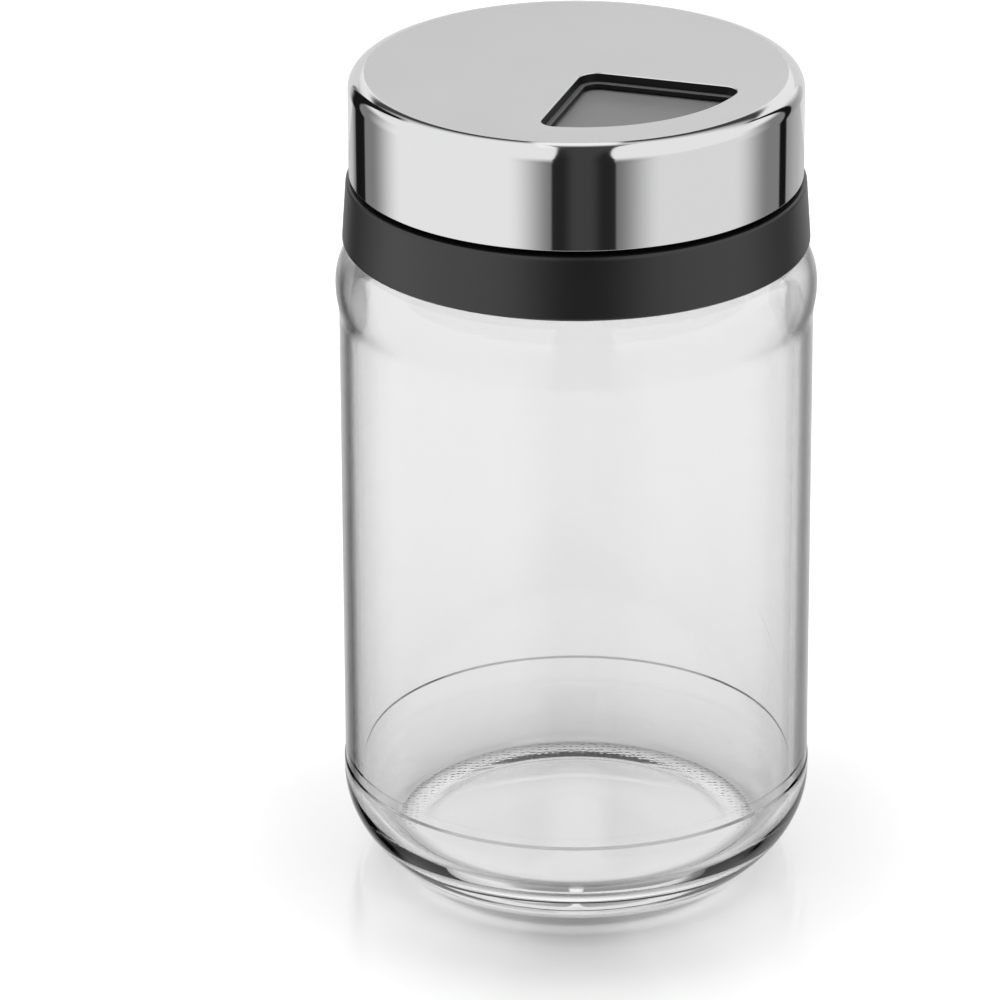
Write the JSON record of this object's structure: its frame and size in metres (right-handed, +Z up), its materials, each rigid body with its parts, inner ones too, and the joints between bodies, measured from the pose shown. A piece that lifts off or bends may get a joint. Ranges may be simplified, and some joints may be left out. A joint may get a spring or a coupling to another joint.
{
  "type": "salt shaker",
  "caption": "Clear glass salt shaker with a screw collar and a turning steel cap whose window opens sifter holes or a pouring hole.",
  "frame": {"origin": "centre of the circle that the jar stands on, at the height of the table", "axes": "+Z up along the axis of the jar and the lid; -Y faces the picture's camera, and the cap's window is at +X and -Y"},
  "size_m": [0.0432, 0.0432, 0.075],
  "materials": {
    "clear_glass": "clear and smooth",
    "seal_silicone": "soft matte",
    "black_plastic": "fine satin",
    "disc_plastic": "smooth",
    "satin_steel": "polished side, satin top"
  },
  "bodies": {
    "jar": {"glass_jar": "clear_glass"},
    "seal": {"seal_ring": "seal_silicone"},
    "collar": {"threaded_collar": "black_plastic", "sifter_disc": "disc_plastic"},
    "cap": {"cap_liner": "black_plastic", "steel_cap": "satin_steel"}
  },
  "joints": [
    {"name": "lid_lift", "type": "slide", "parent": "jar", "child": "seal", "axis": [0, 0, 1], "range_m": [0, 0.012]},
    {"name": "lid_turn", "type": "hinge", "parent": "seal", "child": "collar", "pos_m": [0, 0, 0.065], "axis": [0, 0, 1], "range_deg": [0, 1080]},
    {"name": "cap_turn", "type": "hinge", "parent": "collar", "child": "cap", "pos_m": [0, 0, 0.07], "axis": [0, 0, 1], "continuous": true}
  ],
  "couplings": [
    {"joint": "lid_lift", "follows": "lid_turn", "m_per_rad": 0.0006366}
  ]
}
